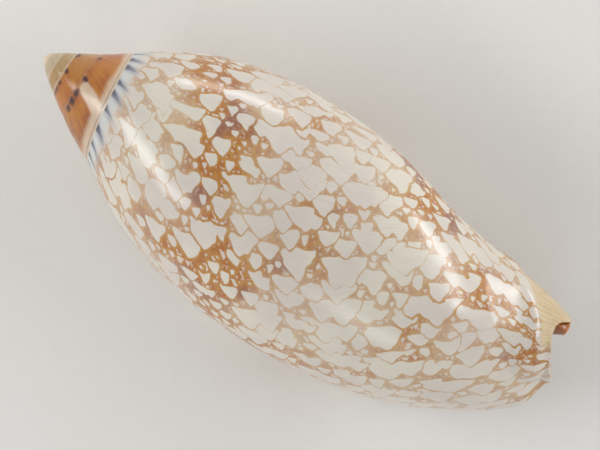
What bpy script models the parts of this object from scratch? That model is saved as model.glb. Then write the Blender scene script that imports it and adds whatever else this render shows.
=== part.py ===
"""A volute shell lying on its aperture, 110 mm long, as one solid.

The shell coils round an axis along X with its apex at -X. A point on it is given by three
numbers: how far along the axis it lies, how far round it is (0 degrees at +Y, 90 on top,
180 at -Y, counted on through the turns in the direction of growth), and its distance from
the axis. The last whorl ends at the outer lip, below the -Y side.
All dimensions are in millimetres until the mesh is made, and in metres after that.
"""
import math

import bmesh
import bpy
import numpy as np
from mathutils import Matrix

NAME = "shell"
MM = 0.001

# Size of the shell along its axis
TIP = 107.9
TIP_CAP = 0.8
TIP_RING = 0.6

# Growth: how much one turn multiplies the axial places and the radii
SUTURE_TURN = 1.75
LENGTH_TURN = 1.88
RADIUS_TURN = 1.9
EARLY_RADIUS_TURN = 1.65
EARLY_ANGLE = 0.0
PROFILE_ANGLE = 180.0

# Suture: its place along the axis at PROFILE_ANGLE, then its tilt across the axis as a share
# of that place, on the spire and on the last whorl, and the angles the tilt changes between
SUTURE = 17.6
SUTURE_TILT = (0.15, 0.05)
SUTURE_TILT_FADE = (-180.0, 60.0)

# The lip and the places inside, as angles of growth in degrees
LIP_ANGLE = 200.0
CANAL_END_ANGLE = 20.0
CAVITY_DEPTH = 310.0
STEP_ANGLE = 10.0
SPIRE_TURNS = 3.5

# Rows of faces between the suture, the fasciole and the front edge
SPIRE_ROWS = 4
BODY_ROWS = 34
ROW_CROWDING = 0.75
FASCIOLE_ROWS = 6

# Spire: a cone rounded at the apex, with slightly swollen whorls
CONE_SLOPE = 0.605
CONE_ROUNDING = 2.76
WHORL_SWELL = 0.014
CAP_RING = 0.3

# The last whorl leaves the cone over this part of the way to the next suture, and later on
# the spire than near the lip
CONE_KEPT = 0.8
CONE_LEFT_OVER = 0.9
CONE_KEPT_FADE = (-160.0, 20.0)

# Wall thickness, and the width of the band where the wall joins the whorl before it
WALL = 1.6
WALL_THINNING = 0.4
WALL_THINS = (90.0, 107.0)
JOIN_BAND = 0.12

# The wall is thicker where the surface is steep, up to MOST_STEEP times, with the slope taken
# over twice SLOPE_STEP. This fades out over the rows from the share STEEP_ENDS on.
SLOPE_STEP = 0.3
MOST_STEEP = 2.2
STEEP_ENDS = 0.97

# How the cavity is rounded off: the share of its rows behind the front and behind the join,
# and the share of its depth
ROUNDED_JOIN = 0.06
ROUNDED_FRONT = 0.1
ROUNDED_END = 0.15
LEAST_GAP = 0.05

# The last whorl where it is seen from the side: place along the axis, radius
PROFILE = ((12.0, 10.0), (19.0, 14.5), (25.8, 18.1), (36.8, 22.95), (51.5, 26.1), (62.5, 26.85),
           (77.0, 25.9), (88.3, 23.7), (97.0, 20.9), (103.0, 18.2), (107.5, 15.2), (110.0, 10.8),
           (111.0, 5.0), (125.0, 0.0))

# The neck that tapers to the tip of the columella: angle, radius at the tip, radius gained
# over NECK_LENGTH behind it. NECK_MERGE is the width over which it runs into the whorl.
NECK_LENGTH = 35.0
NECK_POWER = 0.7
NECK_START = (25.0, 55.0)
NECK_MERGE = (4.0, 0.5)
NECK_MERGE_FADE = (-60.0, 20.0)
NECK = ((-600.0, 0.9, 2.6), (-505.0, 1.1, 3.1), (-145.0, 1.2, 4.6), (-90.0, 1.2, 7.2), (0.0, 1.3, 12.9),
        (30.0, 2.4, 13.0), (90.0, 5.2, 13.8), (130.0, 7.9, 14.1), (180.0, 10.5, 14.4),
        (260.0, 12.0, 14.4))

# Front edge of the last whorl, with the siphonal notch: angle, place along the axis
FRONT_EDGE = ((-160.0, 107.9), (20.0, 107.9), (50.0, 107.8), (65.0, 107.4), (72.0, 106.8),
              (80.0, 105.5), (90.0, 104.9), (100.0, 105.0), (120.0, 105.9), (140.0, 106.9),
              (160.0, 107.8), (180.0, 109.1), (200.0, 109.8))

# The ridge that bounds the siphonal fasciole: angle, place along the axis
RIDGE = ((-160.0, 91.0), (-90.0, 91.3), (0.0, 92.5), (30.0, 94.5), (50.0, 96.9), (70.0, 99.7),
         (90.0, 102.2), (110.0, 103.8), (130.0, 105.1), (150.0, 106.2), (170.0, 107.4),
         (200.0, 109.0))
RIDGE_HEIGHT = 0.6
RIDGE_WIDTHS = (2.6, 1.0)
RIDGE_STARTS = (-130.0, -20.0)

# Edge of the outer lip: place along the axis, degrees ahead of the suture's end
LIP_EDGE = ((20.5, 0.0), (31.0, 8.0), (46.0, 15.0), (59.0, 16.0), (74.0, 12.0), (86.5, 3.0),
            (97.5, -9.0), (105.0, -14.0), (109.0, -20.0))
LIP_EDGE_REACH = 120.0

# Sideways shift of the axis: at the apex, and at the tip of the columella
APEX_SHIFT = 1.7
APEX_SHIFT_END = 11.0
APEX_SHIFT_POWER = 1.3
TIP_SHIFT = 3.3
TIP_SHIFT_START = 73.6

# Four folds on the columella: place along the axis at the lip's angle, height, half width
FOLDS = ((65.0, 1.0, 1.6), (72.5, 1.3, 1.8), (80.0, 1.2, 1.8), (87.0, 0.9, 1.7))
FOLD_ANGLE = -160.0
FOLD_FADE = (-150.0, -85.0)

# Rest: how the shell is turned about X and Y to lie on its belly and lip, and how much of it
# is worn flat there
ROLL = -1.4
PITCH = 3.4
WORN = 0.3
BLOCK = 160.0


def smooth_curve(points, at, column=1):
    """A curve through the points that never overshoots them, level beyond both ends."""
    xs = np.array([point[0] for point in points])
    ys = np.array([point[column] for point in points])
    span = np.diff(xs)
    slope = np.diff(ys) / span
    tangent = np.zeros(len(xs))
    same_way = slope[:-1] * slope[1:] > 0
    inner = 2 * slope[:-1] * slope[1:] / np.where(same_way, slope[:-1] + slope[1:], 1.0)
    tangent[1:-1] = np.where(same_way, inner, 0.0)
    tangent[0] = slope[0]
    tangent[-1] = slope[-1]
    at = np.clip(at, xs[0], xs[-1])
    left = np.clip(np.searchsorted(xs, at, side="right") - 1, 0, len(span) - 1)
    t = (at - xs[left]) / span[left]
    low = ys[left] * (1 + 2 * t) * (1 - t) ** 2 + tangent[left] * span[left] * t * (1 - t) ** 2
    high = ys[left + 1] * t * t * (3 - 2 * t) - tangent[left + 1] * span[left] * t * t * (1 - t)
    return low + high


def smooth_step(low, high, at):
    t = np.clip((at - low) / (high - low), 0.0, 1.0)
    return t * t * (3 - 2 * t)


def soft_max(a, b, width):
    """The larger of two lengths, with the corner where they cross rounded off."""
    rounding = width * 2 * a * b / (a * a + b * b + 0.01)
    return 0.5 * (a + b + np.sqrt((a - b) ** 2 + rounding * rounding))


def turns(angle):
    return (angle - PROFILE_ANGLE) / 360.0


def radius_scale(angle):
    """Radius of the last whorl's profile at an earlier angle, as a share."""
    late = RADIUS_TURN ** turns(np.maximum(angle, EARLY_ANGLE))
    return late * EARLY_RADIUS_TURN ** (np.minimum(angle - EARLY_ANGLE, 0.0) / 360.0)


def suture(angle):
    """Where the whorl that is growing at this angle meets the one before it."""
    early, late = SUTURE_TILT
    tilt = early + (late - early) * smooth_step(*SUTURE_TILT_FADE, angle)
    return SUTURE * SUTURE_TURN ** turns(angle) * (1 + tilt * np.cos(np.radians(angle)))


def whorl_share(angle, along):
    """How far across its whorl a place is, from 0 at its own suture to 1 at the next one."""
    start = suture(angle)
    return (along - start) / (suture(angle + 360) - start)


def axis_shift(along):
    near_apex = APEX_SHIFT * np.clip(1 - along / APEX_SHIFT_END, 0, None) ** APEX_SHIFT_POWER
    reach = np.clip((along - TIP_SHIFT_START) / (TIP - TIP_SHIFT_START), 0, None)
    return near_apex + TIP_SHIFT * reach ** 2


def cone(angle, along):
    """The spire, swollen a little between one suture and the next."""
    rounded = CONE_SLOPE * np.sqrt(along * along + 2 * CONE_ROUNDING * along)
    across = np.clip(whorl_share(angle, along), 0, 1)
    return rounded + WHORL_SWELL * suture(angle) * (4 * across * (1 - across)) ** 0.6


def neck(angle, along):
    tip_radius = smooth_curve(NECK, angle, 1)
    gain = smooth_curve(NECK, angle, 2)
    back = np.clip((TIP - along) / NECK_LENGTH, 0, 1)
    whole = tip_radius + gain * back ** NECK_POWER
    scale = LENGTH_TURN ** turns(angle)
    return whole * smooth_step(NECK_START[0] * scale, NECK_START[1] * scale, along)


def folds(angle, along):
    height = np.zeros(np.broadcast(angle, along).shape)
    for place, rise, half_width in FOLDS:
        centre = place * LENGTH_TURN ** ((angle - FOLD_ANGLE) / 360.0)
        height = height + rise * np.exp(-(((along - centre) / half_width) ** 2))
    return height * (1 - smooth_step(*FOLD_FADE, angle))


def ridge(angle, along):
    away = along - smooth_curve(RIDGE, angle)
    away = away / np.where(away < 0, *RIDGE_WIDTHS)
    return RIDGE_HEIGHT * np.exp(-away * away) * smooth_step(*RIDGE_STARTS, angle)


def radius(angle, along):
    """Distance of the outer surface from the axis."""
    angle, along = np.broadcast_arrays(np.asarray(angle, float), np.asarray(along, float))
    whorl = radius_scale(angle) * smooth_curve(PROFILE, along / LENGTH_TURN ** turns(angle))
    early, late = NECK_MERGE
    merge = early + (late - early) * smooth_step(*NECK_MERGE_FADE, angle)
    body = soft_max(whorl, neck(angle, along), merge)
    across = whorl_share(angle, along)
    leaves_cone = CONE_KEPT * (1 - smooth_step(*CONE_KEPT_FADE, angle))
    share = smooth_step(leaves_cone, leaves_cone + CONE_LEFT_OVER, across)
    surface = cone(angle, along) * (1 - share) + body * share
    return surface + folds(angle, along) + ridge(angle, along)


def lip_lead(angle, along):
    """How far growth at this place runs ahead of the suture, in degrees."""
    return smooth_curve(LIP_EDGE, along) * smooth_step(LIP_ANGLE - LIP_EDGE_REACH, LIP_ANGLE, angle)


def place(angle, along, distance):
    around = np.radians(angle)
    return np.stack([along, axis_shift(along) + distance * np.cos(around),
                     distance * np.sin(around)], axis=-1)


def row_shares(angle):
    """Rows of the last whorl, from just past the coming suture to the front edge, as shares."""
    start = suture(angle + 360) * (1 + JOIN_BAND)
    bend = (smooth_curve(RIDGE, angle) - start) / (smooth_curve(FRONT_EDGE, angle) - start)
    body = bend * np.linspace(0, 1, BODY_ROWS + 1) ** ROW_CROWDING
    fasciole = bend + (1 - bend) * np.linspace(0, 1, FASCIOLE_ROWS + 1)[1:]
    return np.concatenate([body, fasciole])


def outer_rows(angle, last_whorl):
    """Places along the axis of one column of the outer surface."""
    spire = suture(angle) + (suture(angle + 360) - suture(angle)) * np.linspace(0, 1, SPIRE_ROWS + 1)
    if not last_whorl:
        return spire
    start = suture(angle + 360) * (1 + JOIN_BAND)
    return np.concatenate([spire, start + (smooth_curve(FRONT_EDGE, angle) - start) * row_shares(angle)])


def cavity_front(angle):
    """Front end of the cavity: the open canal near the lip, drawn back further in."""
    if angle >= CANAL_END_ANGLE:
        return smooth_curve(FRONT_EDGE, angle)
    return TIP * LENGTH_TURN ** ((angle - CANAL_END_ANGLE) / 360.0)


def wall(along):
    """Thickness of the outer wall, thinner towards the notch."""
    return WALL * (1 - WALL_THINNING * smooth_step(*WALL_THINS, along))


def inner_surface(angle, along):
    """The whorl before this one, which the cavity lies on."""
    return radius(angle - 360, along)


def cavity_roof(angle, swept, along, share):
    """Inside of the outer wall, rounded off where it comes down on the whorl before it."""
    floor = inner_surface(swept, along)
    slope = (radius(swept, along + SLOPE_STEP) - radius(swept, along - SLOPE_STEP)) / (2 * SLOPE_STEP)
    steeper = np.clip(np.hypot(1.0, slope), 1.0, MOST_STEEP) - 1.0
    thickness = wall(along) * (1 + steeper * (1 - smooth_step(STEEP_ENDS, 1.0, share)))
    gap = np.clip(radius(swept, along) - thickness - floor, LEAST_GAP, None)
    rounding = np.sqrt(1 - (1 - np.clip(share / ROUNDED_JOIN, 0, 1)) ** 2)
    if angle <= CANAL_END_ANGLE:
        near_front = np.clip(1 - (1 - share) / ROUNDED_FRONT, 0, 1)
        rounding = rounding * np.sqrt(1 - near_front ** 2)
    depth = (LIP_ANGLE - angle) / CAVITY_DEPTH
    near_end = np.clip(1 - (1 - depth) / ROUNDED_END, 0, 0.98)
    rounding = rounding * np.sqrt(1 - near_end ** 2)
    return floor + gap * rounding


class Loft:
    """Rows and columns of vertices joined by faces."""

    def __init__(self):
        self.mesh = bmesh.new()

    def column(self, points):
        return [self.mesh.verts.new(point) for point in points]

    def face(self, *corners):
        if len(set(corners)) == len(corners):
            self.mesh.faces.new(corners)

    def sheet(self, left, right):
        for k in range(min(len(left), len(right)) - 1):
            self.face(left[k], right[k], right[k + 1])
            self.face(left[k], right[k + 1], left[k + 1])

    def stitch(self, left, right):
        """Triangles between two columns of unlike length that share both ends."""
        i = 0
        j = 0
        while i < len(left) - 1 or j < len(right) - 1:
            left_next = (i + 1) / (len(left) - 1)
            right_next = (j + 1) / (len(right) - 1)
            if j == len(right) - 1 or (i < len(left) - 1 and left_next <= right_next):
                self.face(left[i], right[j], left[i + 1])
                i += 1
            else:
                self.face(left[i], right[j], right[j + 1])
                j += 1


def build_shell_mesh():
    loft = Loft()
    per_turn = round(360 / STEP_ANGLE)
    count = round((SPIRE_TURNS + 1) * per_turn)
    first_open = count - per_turn
    angles = [LIP_ANGLE - STEP_ANGLE * (count - k) for k in range(count + 1)]

    # Outer surface, with each suture shared by the two whorls that meet in it
    outer = []
    for k, angle in enumerate(angles):
        along = outer_rows(angle, k >= first_open)
        swept = angle + lip_lead(angle, along)
        outer.append(loft.column(place(swept, along, radius(swept, along)) * MM))
    for k in range(first_open + 1):
        loft.mesh.verts.remove(outer[k][SPIRE_ROWS])
        outer[k][SPIRE_ROWS] = outer[k + per_turn][0]
    for k in range(count):
        loft.sheet(outer[k], outer[k + 1])

    # Apex: a ring half way up the cap over the first turn of the suture, then a fan
    apex = loft.mesh.verts.new(place(0.0, np.array(0.0), 0.0) * MM)
    rim = [outer[k][0] for k in range(per_turn + 1)] + outer[0][SPIRE_ROWS - 1:0:-1]
    around = np.concatenate([angles[:per_turn + 1], np.full(SPIRE_ROWS - 1, angles[0])])
    along = np.array([v.co.x for v in rim]) / MM * CAP_RING
    cap = loft.column(place(around, along, cone(around, along)) * MM)
    for k in range(len(rim)):
        loft.sheet((rim[k - 1], cap[k - 1]), (rim[k], cap[k]))
        loft.face(cap[k - 1], cap[k], apex)

    # Cavity: its floor is the whorl before, its roof the inside of the outer wall
    canal_end = count - round((LIP_ANGLE - CANAL_END_ANGLE) / STEP_ANGLE)
    deepest = count - round(CAVITY_DEPTH / STEP_ANGLE)
    floor_shares = row_shares(LIP_ANGLE - 360)
    floors = {}
    roofs = {}
    for k in range(deepest, count + 1):
        angle = angles[k]
        start = suture(angle) * (1 + JOIN_BAND)
        front = TIP if k >= canal_end else cavity_front(angle)
        along = start + (front - start) * floor_shares
        if k == count:
            floors[k] = outer[first_open][SPIRE_ROWS + 1:]
        else:
            floors[k] = loft.column(place(angle, along, inner_surface(angle, along)) * MM)
        rows = outer_rows(max(angle, LIP_ANGLE - 360), True)
        share = (rows - rows[0]) / (rows[-1] - rows[0])
        along = start + (cavity_front(angle) - start) * share
        swept = angle + lip_lead(angle, along)
        distance = cavity_roof(angle, swept, along, share)
        roof = loft.column(place(swept, along, distance) * MM)
        loft.mesh.verts.remove(roof[0])
        roof[0] = floors[k][0]
        if k <= canal_end:
            loft.mesh.verts.remove(roof[-1])
            roof[-1] = floors[k][-1]
        roofs[k] = roof
    for k in range(deepest, count):
        loft.sheet(floors[k], floors[k + 1])
        loft.sheet(roofs[k], roofs[k + 1])
    loft.stitch(roofs[deepest], floors[deepest])

    # Rim of the lip, then of the notch
    loft.sheet(outer[count], roofs[count])
    front_out = [outer[k][-1] for k in range(canal_end, count + 1)]
    front_in = [roofs[k][-1] for k in range(canal_end, count + 1)]
    loft.sheet(front_out, front_in)

    # Tip of the columella: a ring between its end and a last point
    ring = [outer[k][-1] for k in range(first_open, canal_end + 1)]
    ring += [floors[k][-1] for k in range(canal_end, count)]
    centre = place(0.0, np.array(TIP), 0.0) * MM
    tip = loft.mesh.verts.new(place(0.0, np.array(TIP + TIP_CAP), 0.0) * MM)
    middle = []
    for corner in ring:
        inward = (np.array(corner.co) - centre) * TIP_RING
        middle.append(loft.mesh.verts.new(centre + inward + np.array([0.8 * TIP_CAP * MM, 0.0, 0.0])))
    for k in range(len(ring)):
        loft.sheet((ring[k - 1], middle[k - 1]), (ring[k], middle[k]))
        loft.face(middle[k - 1], middle[k], tip)

    bmesh.ops.recalc_face_normals(loft.mesh, faces=loft.mesh.faces)
    data = bpy.data.meshes.new(NAME)
    loft.mesh.to_mesh(data)
    loft.mesh.free()
    data.shade_smooth()
    return data


def add_material(data):
    material = bpy.data.materials.new("glossy_shell")
    material.use_nodes = True
    surface = material.node_tree.nodes["Principled BSDF"]
    surface.inputs["Base Color"].default_value = (0.62, 0.45, 0.33, 1.0)
    surface.inputs["Roughness"].default_value = 0.22
    surface.inputs["Metallic"].default_value = 0.0
    data.materials.append(material)


def lay_down(shell):
    """Turn the shell onto its belly and lip, with the flat it will be worn to at Z = 0."""
    turn = Matrix.Rotation(math.radians(PITCH), 4, "Y") @ Matrix.Rotation(math.radians(ROLL), 4, "X")
    turned = [turn @ vertex.co for vertex in shell.data.vertices]
    low = [min(point[k] for point in turned) for k in range(3)]
    high = [max(point[k] for point in turned) for k in range(3)]
    shell.rotation_euler = turn.to_euler()
    shell.location = (-(low[0] + high[0]) / 2, -(low[1] + high[1]) / 2, -low[2] - WORN * MM)


def wear_flat(shell, cutters):
    """Cut away what would lie under the floor."""
    bpy.ops.mesh.primitive_cube_add(size=BLOCK * MM, location=(0, 0, -BLOCK * MM / 2))
    block = bpy.context.object
    block.name = "floor_cutter"
    block.hide_render = True
    block.display_type = "WIRE"
    for holder in list(block.users_collection):
        holder.objects.unlink(block)
    cutters.objects.link(block)
    cut = shell.modifiers.new("worn_flat", "BOOLEAN")
    cut.operation = "DIFFERENCE"
    cut.object = block


def main():
    for thing in list(bpy.data.objects):
        bpy.data.objects.remove(thing)
    model = bpy.data.collections.new("damons_volute_shell")
    cutters = bpy.data.collections.new("cutters")
    bpy.context.scene.collection.children.link(model)
    bpy.context.scene.collection.children.link(cutters)
    data = build_shell_mesh()
    add_material(data)
    shell = bpy.data.objects.new(NAME, data)
    model.objects.link(shell)
    lay_down(shell)
    wear_flat(shell, cutters)


main()
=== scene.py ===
"""Looks of a volute shell lying on its aperture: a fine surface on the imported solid's own growth,
the tent markings, the coloured spire, the glossy coat, and a floor, lights and a camera.

The shell coils round an axis along X with its apex at -X. Growth angles are in degrees: 0 at +Y,
90 on top, 180 at -Y, counted on through the turns; the outer lip is at about 200. Lengths are in
millimetres, and in metres once they are in a mesh.
"""
import math

import bmesh
import bpy
import numpy as np
from mathutils import Matrix, Vector


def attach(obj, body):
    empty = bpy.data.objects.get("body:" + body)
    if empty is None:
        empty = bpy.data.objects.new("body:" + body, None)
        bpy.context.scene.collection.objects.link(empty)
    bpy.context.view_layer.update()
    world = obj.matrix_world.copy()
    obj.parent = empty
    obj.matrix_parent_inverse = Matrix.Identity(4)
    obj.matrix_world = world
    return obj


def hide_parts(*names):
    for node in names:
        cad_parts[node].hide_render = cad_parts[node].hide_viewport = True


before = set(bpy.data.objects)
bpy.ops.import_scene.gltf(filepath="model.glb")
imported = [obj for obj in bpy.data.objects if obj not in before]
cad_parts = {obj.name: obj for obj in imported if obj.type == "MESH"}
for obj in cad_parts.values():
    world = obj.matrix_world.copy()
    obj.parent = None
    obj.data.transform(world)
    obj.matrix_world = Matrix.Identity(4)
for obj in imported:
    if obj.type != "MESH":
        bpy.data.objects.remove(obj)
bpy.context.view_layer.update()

MM = 0.001

# Growth of the shell, as in the solid
TIP = 107.9
TIP_CAP = 0.8
SUTURE_TURN = 1.75
LENGTH_TURN = 1.88
RADIUS_TURN = 1.9
EARLY_RADIUS_TURN = 1.65
EARLY_ANGLE = 0.0
PROFILE_ANGLE = 180.0
SUTURE = 17.6
SUTURE_TILT = (0.15, 0.05)
SUTURE_TILT_FADE = (-180.0, 60.0)
LIP_ANGLE = 200.0
CANAL_END_ANGLE = 20.0
CAVITY_DEPTH = 310.0
SPIRE_TURNS = 3.5
CONE_SLOPE = 0.605
CONE_ROUNDING = 2.76
WHORL_SWELL = 0.014
CONE_KEPT = 0.8
CONE_LEFT_OVER = 0.9
CONE_KEPT_FADE = (-160.0, 20.0)
WALL = 1.6
WALL_THINNING = 0.4
WALL_THINS = (90.0, 107.0)
JOIN_BAND = 0.12
SLOPE_STEP = 0.3
MOST_STEEP = 2.2
STEEP_ENDS = 0.97
ROUNDED_JOIN = 0.06
ROUNDED_FRONT = 0.1
ROUNDED_END = 0.15
LEAST_GAP = 0.05
PROFILE = ((12.0, 10.0), (19.0, 14.5), (25.8, 18.1), (36.8, 22.95), (51.5, 26.1), (62.5, 26.85),
           (77.0, 25.9), (88.3, 23.7), (97.0, 20.9), (103.0, 18.2), (107.5, 15.2), (110.0, 10.8),
           (111.0, 5.0), (125.0, 0.0))
NECK_LENGTH = 35.0
NECK_POWER = 0.7
NECK_START = (25.0, 55.0)
NECK_MERGE = (4.0, 0.5)
NECK_MERGE_FADE = (-60.0, 20.0)
NECK = ((-600.0, 0.9, 2.6), (-505.0, 1.1, 3.1), (-145.0, 1.2, 4.6), (-90.0, 1.2, 7.2),
        (0.0, 1.3, 12.9), (30.0, 2.4, 13.0), (90.0, 5.2, 13.8), (130.0, 7.9, 14.1),
        (180.0, 10.5, 14.4), (260.0, 12.0, 14.4))
FRONT_EDGE = ((-160.0, 107.9), (20.0, 107.9), (50.0, 107.8), (65.0, 107.4), (72.0, 106.8),
              (80.0, 105.5), (90.0, 104.9), (100.0, 105.0), (120.0, 105.9), (140.0, 106.9),
              (160.0, 107.8), (180.0, 109.1), (200.0, 109.8))
RIDGE = ((-160.0, 91.0), (-90.0, 91.3), (0.0, 92.5), (30.0, 94.5), (50.0, 96.9), (70.0, 99.7),
         (90.0, 102.2), (110.0, 103.8), (130.0, 105.1), (150.0, 106.2), (170.0, 107.4),
         (200.0, 109.0))
RIDGE_HEIGHT = 0.6
RIDGE_WIDTHS = (2.6, 1.0)
RIDGE_STARTS = (-130.0, -20.0)
LIP_EDGE = ((20.5, 0.0), (31.0, 8.0), (46.0, 15.0), (59.0, 16.0), (74.0, 12.0), (86.5, 3.0),
            (97.5, -9.0), (105.0, -14.0), (109.0, -20.0))
LIP_EDGE_REACH = 120.0
APEX_SHIFT = 1.7
APEX_SHIFT_END = 11.0
APEX_SHIFT_POWER = 1.3
TIP_SHIFT = 3.3
TIP_SHIFT_START = 73.6
FOLDS = ((65.0, 1.0, 1.6), (72.5, 1.3, 1.8), (80.0, 1.2, 1.8), (87.0, 0.9, 1.7))
FOLD_ANGLE = -160.0
FOLD_FADE = (-150.0, -85.0)
ROLL = -1.4
PITCH = 3.4
WORN = 0.3

# Fineness of the surface: degrees per column, and rows of faces across each part
STEP_ANGLE = 1.0
INSIDE_STEP = 3
TURN_ROWS = (26, 16, 9, 6)
BODY_ROWS = 138
FASCIOLE_ROWS = 16
INSIDE_ROWS = 66
ROW_CROWDING = 0.8
RIM_ROWS = 5
RIM_REACH = 8.0
CAP_RINGS = (0.72, 0.4, 0.15)
TIP_RINGS = (0.85, 0.6, 0.3)

# How far growth runs ahead of the suture in the fine lines across the whorl
GROWTH_LEAD = ((17.0, -3.0), (20.0, 0.0), (30.0, 20.0), (40.0, 30.0), (59.0, 36.0), (74.0, 32.0),
               (86.0, 22.0), (97.0, 8.0), (109.0, -6.0))

# Tent markings: the lattice they are drawn on, as first, last and step of the growth lines and of
# the places along the axis, and its rim where no tent starts
LATTICE_ANGLES = (-190.0, 262.0, 0.7)
LATTICE_PLACES = (9.0, 112.0, 0.28)
LATTICE_MARGIN = 4
# How far the lines that tents open along run ahead of the suture, how far forwards tents slant,
# rough millimetres per degree, and how fast the bands drift
TENT_LEAD = ((15.0, 15.0), (35.0, 13.0), (50.0, 5.0), (60.0, -3.0), (80.0, -21.0), (100.0, -41.0),
             (110.0, -50.0))
SLANT = 0.45
AROUND = 0.4
BAND_DRIFT = 0.22
# Channels, how far outside its tents one holds, and the width of the line between two tents
CHANNELS = 4
CHANNEL_REACH = 0.6
OUTLINE = 0.28
# Each size of tent: number tried, half width, height as a share of its width, most overlap in a
# crowded and in a calm place, bluntness of the sides and of the tip
TENTS = ((4200, (1.9, 3.3), 0.78, 0.12, 0.4, 1.12, 1.7),
         (9000, (1.3, 2.2), 0.95, 0.15, 0.34, 1.08, 1.6),
         (24000, (0.75, 1.3), 1.08, 0.14, 0.2, 1.05, 1.5),
         (36000, (0.42, 0.75), 1.1, 0.1, 0.1, 1.0, 1.3))
HEIGHT_VARIES = (0.8, 1.25)
# Share of the tries of each size that count in a calm place, and how many fewer in a crowded one
WANTED = ((1.0, 0.97), (1.0, 0.72), (1.0, 0.2), (0.9, 0.0))
TENT_GAP = 0.1
# The largest tents run together: how many more belong to one at most, where they lie from it in
# half widths, and their size
MOST_MERGED = 4
MERGED_ASIDE = 1.3
MERGED_AHEAD = (0.3, 0.5)
MERGED_SIZE = (0.4, 0.85)
MERGED_TALLER = 1.15
# How tents are bent out of true, aside and ahead: depth and length of each wave
BENT_ASIDE = ((0.4, 7.0), (0.12, 1.5))
BENT_AHEAD = (0.2, 5.0)
# Scallops along the top of a tent: depth, the half width that has it, length, stretch along the
# growth, and the most that a larger tent adds
SCALLOP = 0.8
SCALLOP_HALF = 2.2
SCALLOP_LENGTH = 5.5
SCALLOP_STRETCH = 0.3
MOST_SCALLOP = 1.2
# Spiral bands where the markings are crowded: place on top of the shell, half width, strength
BANDS = ((40.0, 5.5, 1.0), (79.0, 5.5, 0.9), (103.0, 3.5, 0.8))
# Crowding of a calm place, what a band and a patch add to it, and the size of a patch
CALM = 0.15
IN_BAND = 0.95
IN_PATCH = 0.65
PATCH_SIZE = 26.0
SEED = 11

# Camera: the point it looks at, in the shell's own coordinates, its distance, the width it sees
# there, and how far the axis runs below the horizontal of the picture
AIM = (56.1, -3.0, 0.0)
DISTANCE = 360.0
SEEN_WIDTH = 110.4
SENSOR = 36.0
AXIS_SLOPE = 28.5


def smooth_curve(points, at, column=1):
    """A curve through the points that never overshoots them, level beyond both ends."""
    xs = np.array([point[0] for point in points])
    ys = np.array([point[column] for point in points])
    span = np.diff(xs)
    slope = np.diff(ys) / span
    tangent = np.zeros(len(xs))
    same_way = slope[:-1] * slope[1:] > 0
    inner = 2 * slope[:-1] * slope[1:] / np.where(same_way, slope[:-1] + slope[1:], 1.0)
    tangent[1:-1] = np.where(same_way, inner, 0.0)
    tangent[0] = slope[0]
    tangent[-1] = slope[-1]
    at = np.clip(at, xs[0], xs[-1])
    left = np.clip(np.searchsorted(xs, at, side="right") - 1, 0, len(span) - 1)
    t = (at - xs[left]) / span[left]
    low = ys[left] * (1 + 2 * t) * (1 - t) ** 2 + tangent[left] * span[left] * t * (1 - t) ** 2
    high = ys[left + 1] * t * t * (3 - 2 * t) - tangent[left + 1] * span[left] * t * t * (1 - t)
    return low + high


def smooth_step(low, high, at):
    t = np.clip((at - low) / (high - low), 0.0, 1.0)
    return t * t * (3 - 2 * t)


def soft_max(a, b, width):
    """The larger of two lengths, with the corner where they cross rounded off."""
    rounding = width * 2 * a * b / (a * a + b * b + 0.01)
    return 0.5 * (a + b + np.sqrt((a - b) ** 2 + rounding * rounding))


def turns(angle):
    return (angle - PROFILE_ANGLE) / 360.0


def radius_scale(angle):
    """Radius of the last whorl's profile at an earlier angle, as a share."""
    late = RADIUS_TURN ** turns(np.maximum(angle, EARLY_ANGLE))
    return late * EARLY_RADIUS_TURN ** (np.minimum(angle - EARLY_ANGLE, 0.0) / 360.0)


def suture(angle):
    """Where the whorl that is growing at this angle meets the one before it."""
    early, late = SUTURE_TILT
    tilt = early + (late - early) * smooth_step(*SUTURE_TILT_FADE, angle)
    return SUTURE * SUTURE_TURN ** turns(angle) * (1 + tilt * np.cos(np.radians(angle)))


def whorl_share(angle, along):
    """How far across its whorl a place is, from 0 at its own suture to 1 at the next one."""
    start = suture(angle)
    return (along - start) / (suture(angle + 360) - start)


def axis_shift(along):
    near_apex = APEX_SHIFT * np.clip(1 - along / APEX_SHIFT_END, 0, None) ** APEX_SHIFT_POWER
    reach = np.clip((along - TIP_SHIFT_START) / (TIP - TIP_SHIFT_START), 0, None)
    return near_apex + TIP_SHIFT * reach ** 2


def cone(angle, along):
    """The spire, swollen a little between one suture and the next."""
    rounded = CONE_SLOPE * np.sqrt(along * along + 2 * CONE_ROUNDING * along)
    across = np.clip(whorl_share(angle, along), 0, 1)
    return rounded + WHORL_SWELL * suture(angle) * (4 * across * (1 - across)) ** 0.6


def neck(angle, along):
    tip_radius = smooth_curve(NECK, angle, 1)
    gain = smooth_curve(NECK, angle, 2)
    back = np.clip((TIP - along) / NECK_LENGTH, 0, 1)
    whole = tip_radius + gain * back ** NECK_POWER
    scale = LENGTH_TURN ** turns(angle)
    return whole * smooth_step(NECK_START[0] * scale, NECK_START[1] * scale, along)


def folds(angle, along):
    height = np.zeros(np.broadcast(angle, along).shape)
    for start, rise, half_width in FOLDS:
        centre = start * LENGTH_TURN ** ((angle - FOLD_ANGLE) / 360.0)
        height = height + rise * np.exp(-(((along - centre) / half_width) ** 2))
    return height * (1 - smooth_step(*FOLD_FADE, angle))


def ridge(angle, along):
    away = along - smooth_curve(RIDGE, angle)
    away = away / np.where(away < 0, *RIDGE_WIDTHS)
    return RIDGE_HEIGHT * np.exp(-away * away) * smooth_step(*RIDGE_STARTS, angle)


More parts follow.
